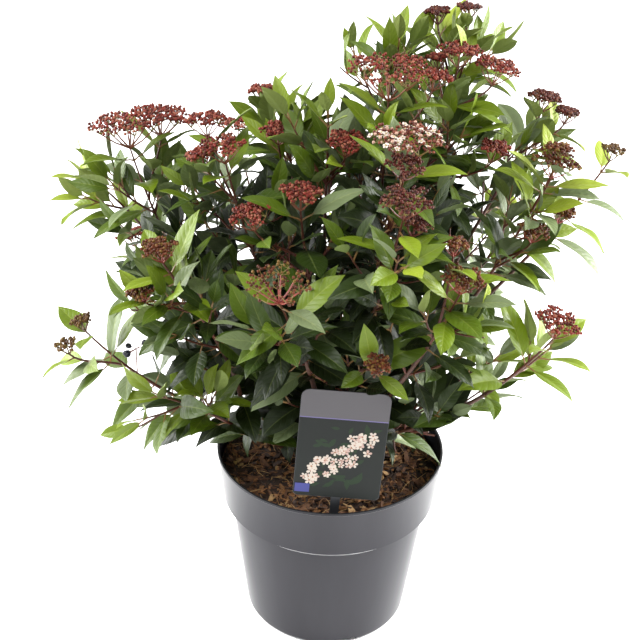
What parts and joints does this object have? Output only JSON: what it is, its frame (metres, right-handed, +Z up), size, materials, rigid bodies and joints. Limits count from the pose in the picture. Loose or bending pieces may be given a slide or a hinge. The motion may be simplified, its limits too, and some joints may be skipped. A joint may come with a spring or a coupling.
{
  "type": "potted laurustinus",
  "caption": "Evergreen flowering shrub with many arching stems, opposite oval leaves and flat heads of pink buds, in a round grey nursery pot with a blank-text care card.",
  "frame": {"origin": "centre of the pot's flat underside", "axes": "+Z up, along the pot's axis; -Y is the side that the picture's camera sees, with the care card; +X is the picture's right"},
  "size_m": [0.555, 0.4579, 0.6357],
  "materials": {
    "pot_plastic": "fine matte grey outside, black inside",
    "substrate": "damp bark chips and coir fibre",
    "card_plastic": "printed plastic sheet, slight sheen",
    "bark": "dark red-brown bark",
    "leaf": "leathery leaves with a soft sheen"
  },
  "bodies": {
    "root": {"pot": "pot_plastic", "soil": "substrate", "care_card": "card_plastic", "stem_foot": "bark", "bough_left_crest": "bark", "bough_left_far": "bark", "bough_left_low": "bark", "bough_front_middle": "bark", "bough_front_low": "bark", "bough_right_middle": "bark", "bough_right_under": "bark", "bough_right_upper": "bark", "bough_back_right": "bark", "bough_back_low": "bark", "bough_back_middle": "bark", "bough_back_left": "bark", "bough_back_left_low": "bark", "bough_centre_crest": "bark", "bough_left_spray": "bark", "bough_left_middle": "bark", "bough_left_inner": "bark", "bough_back_left_top": "bark", "bough_front_upper": "bark", "bough_middle_crest": "bark", "bough_front_crest": "bark", "bough_front_right": "bark", "bough_top": "bark", "bough_top_right": "bark", "bough_right_crest": "bark", "bough_right_far": "bark", "bough_right_low": "bark", "bough_summit": "bark", "foliage_left_crest": "leaf", "foliage_left_far": "leaf", "foliage_left_low": "leaf", "foliage_front_middle": "leaf", "foliage_front_low": "leaf", "foliage_right_middle": "leaf", "foliage_right_under": "leaf", "foliage_right_upper": "leaf", "foliage_back_right": "leaf", "foliage_back_low": "leaf", "foliage_back_middle": "leaf", "foliage_back_left": "leaf", "foliage_back_left_low": "leaf", "foliage_centre_crest": "leaf", "foliage_left_spray": "leaf", "foliage_left_middle": "leaf", "foliage_left_inner": "leaf", "foliage_back_left_top": "leaf", "foliage_front_upper": "leaf", "foliage_middle_crest": "leaf", "foliage_front_crest": "leaf", "foliage_front_right": "leaf", "foliage_top": "leaf", "foliage_top_right": "leaf", "foliage_right_crest": "leaf", "foliage_right_far": "leaf", "foliage_right_low": "leaf", "foliage_summit": "leaf"}
  },
  "joints": []
}
